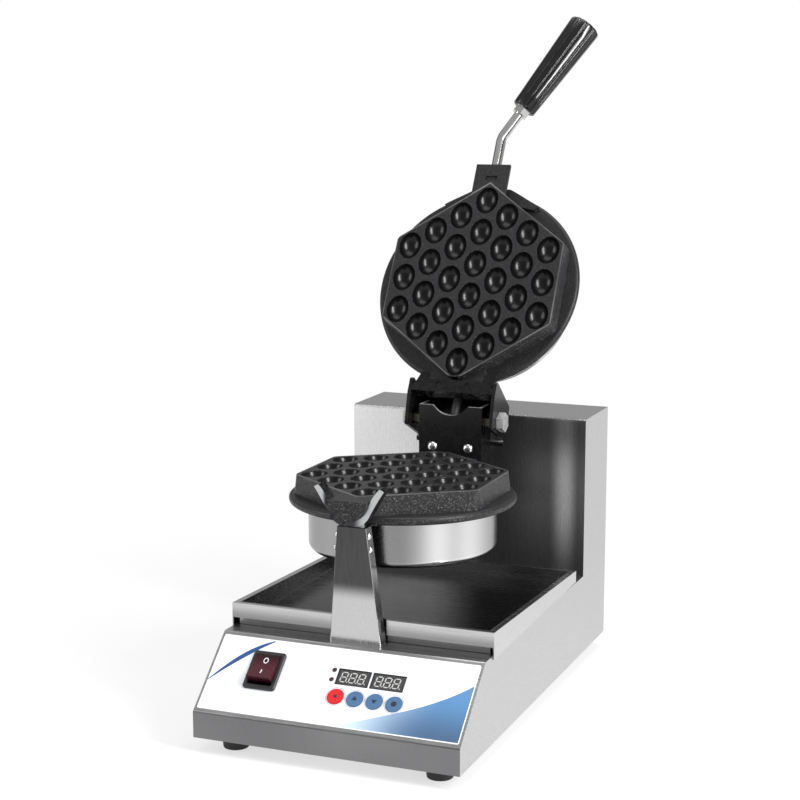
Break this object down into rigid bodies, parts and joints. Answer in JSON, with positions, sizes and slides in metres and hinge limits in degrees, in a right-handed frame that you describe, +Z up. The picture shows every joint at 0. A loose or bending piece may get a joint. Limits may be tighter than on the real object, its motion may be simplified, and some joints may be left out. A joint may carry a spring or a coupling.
{
  "type": "bubble waffle maker",
  "caption": "Tabletop bubble waffle maker: sloped control base, drip tray, and a round two-part iron with egg-shaped cells that opens at a rear hinge and turns in a front cradle.",
  "frame": {"origin": "on the worktop, under the middle of the base", "axes": "+X to the operator's right, +Y from the control panel to the rear, +Z up"},
  "size_m": [0.2526, 0.5363, 0.6465],
  "materials": {
    "stainless": "brushed, satin",
    "cover_steel": "polished",
    "bright_steel": "bright",
    "coated_casting": "rough non-stick coating",
    "cradle_metal": "dark coated, edge polished",
    "brass": "satin",
    "rubber": "matte",
    "label": "printed, satin",
    "circuit_board": "matte",
    "black_plastic": "matte",
    "display_red": "gloss",
    "display_green": "gloss",
    "lamp": "gloss",
    "red_plastic": "gloss",
    "blue_plastic": "gloss",
    "grip_plastic": "gloss",
    "heater_sheath": "dull",
    "fibre": "matte",
    "cable_sleeve": "matte"
  },
  "bodies": {
    "stand": {"base_shell": "stainless", "bottom_plate": "stainless", "rubber_feet": "rubber", "foot_screws": "bright_steel", "bottom_plate_screws": "bright_steel", "control_label": "label", "control_board": "circuit_board", "board_standoffs": "bright_steel", "board_screws": "bright_steel", "temperature_display": "display_red", "time_display": "display_green", "indicator_leds": "lamp", "tact_switches": "black_plastic", "switch_body": "black_plastic", "power_board": "circuit_board", "terminal_block": "black_plastic", "tower_cover": "stainless", "back_cover": "stainless", "back_cover_screws": "bright_steel", "cord_gland": "black_plastic", "bearing_housing": "bright_steel", "bearing_bush": "brass", "bearing_screws": "bright_steel", "front_column": "stainless", "column_screws": "bright_steel", "cradle": "cradle_metal", "cradle_screws": "bright_steel"},
    "tray": {"drip_tray": "stainless"},
    "rocker": {"switch_rocker": "red_plastic"},
    "set_button": {"set_pad": "red_plastic"},
    "up_button": {"up_pad": "blue_plastic"},
    "down_button": {"down_pad": "blue_plastic"},
    "timer_button": {"timer_pad": "blue_plastic"},
    "iron": {"rotor_shaft": "bright_steel", "shaft_collar": "bright_steel", "hinge_bracket": "bright_steel", "bracket_spacers": "bright_steel", "bracket_screws": "bright_steel", "lug_screws": "bright_steel", "hinge_bolts": "bright_steel", "hinge_nuts": "brass", "lower_mould": "coated_casting", "lower_cover": "cover_steel", "lower_heater": "heater_sheath", "lower_insulation": "fibre", "lower_cover_nut": "bright_steel", "temperature_probe": "heater_sheath", "lid_cable": "cable_sleeve"},
    "lid": {"upper_mould": "coated_casting", "upper_cover": "cover_steel", "upper_heater": "heater_sheath", "upper_insulation": "fibre", "upper_cover_nut": "bright_steel", "lid_yoke": "bright_steel", "yoke_screws": "bright_steel", "handle_rod": "bright_steel", "handle_nut": "bright_steel", "handle_grip": "grip_plastic"}
  },
  "joints": [
    {"name": "iron_turn", "type": "hinge", "parent": "stand", "child": "iron", "pos_m": [0, 0.14, 0.226], "axis": [0, 1, 0], "range_deg": [-28, 28]},
    {"name": "lid_hinge", "type": "hinge", "parent": "iron", "child": "lid", "pos_m": [0, 0.105, 0.2524], "axis": [1, 0, 0], "range_deg": [0, 119.7], "deforming": ["lid_cable"]},
    {"name": "tray_slide", "type": "slide", "parent": "stand", "child": "tray", "axis": [0, 1, 0], "range_m": [0, 0.025]},
    {"name": "switch_rock", "type": "hinge", "parent": "stand", "child": "rocker", "pos_m": [-0.0715, -0.18246, 0.06802], "axis": [1, 0, 0], "range_deg": [0, 20]},
    {"name": "set_press", "type": "slide", "parent": "stand", "child": "set_button", "axis": [0, 0.6644, -0.7474], "range_m": [0, 0.0005], "stiffness_N_per_m": 200},
    {"name": "up_press", "type": "slide", "parent": "stand", "child": "up_button", "axis": [0, 0.6644, -0.7474], "range_m": [0, 0.0005], "stiffness_N_per_m": 200},
    {"name": "down_press", "type": "slide", "parent": "stand", "child": "down_button", "axis": [0, 0.6644, -0.7474], "range_m": [0, 0.0005], "stiffness_N_per_m": 200},
    {"name": "timer_press", "type": "slide", "parent": "stand", "child": "timer_button", "axis": [0, 0.6644, -0.7474], "range_m": [0, 0.0005], "stiffness_N_per_m": 200}
  ]
}
